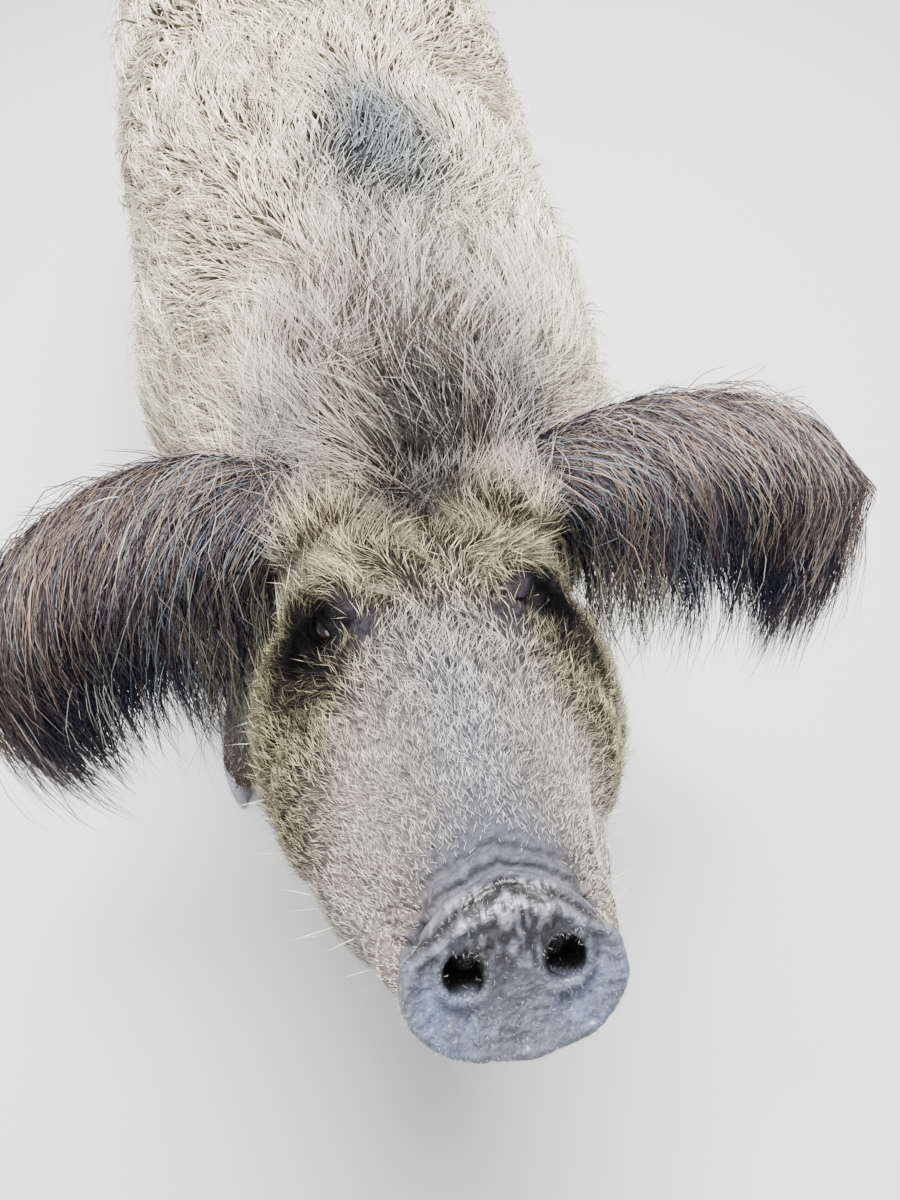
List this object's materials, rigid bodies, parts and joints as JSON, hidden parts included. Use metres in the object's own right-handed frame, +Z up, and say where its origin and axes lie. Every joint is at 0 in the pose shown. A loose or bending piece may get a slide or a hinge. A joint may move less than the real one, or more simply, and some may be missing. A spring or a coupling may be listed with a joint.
{
  "type": "mangalica pig",
  "caption": "Life-size standing mangalica pig with a pale shaggy coat, its muzzle raised and its long-haired lop ears held out to the sides.",
  "frame": {"origin": "on the floor, under the middle of the whole animal's box", "axes": "+Z up, the pig faces -Y, and its own left side is +X"},
  "size_m": [0.7388, 1.5362, 0.7235],
  "materials": {
    "pale_coat": "long pale blond hair with dark roots",
    "short_coat": "short grizzled hair over grey skin",
    "ear_coat": "long glossy blackish brown hair",
    "snout_skin": "bare, moist, mottled grey skin",
    "horn": "worn grey horn",
    "eye": "wet, glossy and dark"
  },
  "bodies": {
    "root": {"claw_front_left_inner": "horn", "claw_front_left_outer": "horn", "claw_front_right_inner": "horn", "claw_front_right_outer": "horn", "claw_hind_left_inner": "horn", "claw_hind_left_outer": "horn", "claw_hind_right_inner": "horn", "claw_hind_right_outer": "horn", "dewclaw_front_left_inner": "horn", "dewclaw_front_left_outer": "horn", "dewclaw_front_right_inner": "horn", "dewclaw_front_right_outer": "horn", "dewclaw_hind_left_inner": "horn", "dewclaw_hind_left_outer": "horn", "dewclaw_hind_right_inner": "horn", "dewclaw_hind_right_outer": "horn", "ear_left": "ear_coat", "ear_right": "ear_coat", "eye_left": "eye", "eye_right": "eye", "head": "short_coat", "leg_front_left": "short_coat", "leg_front_right": "short_coat", "leg_hind_left": "short_coat", "leg_hind_right": "short_coat", "neck": "pale_coat", "snout": "snout_skin", "tail": "pale_coat", "torso": "pale_coat"}
  },
  "joints": []
}
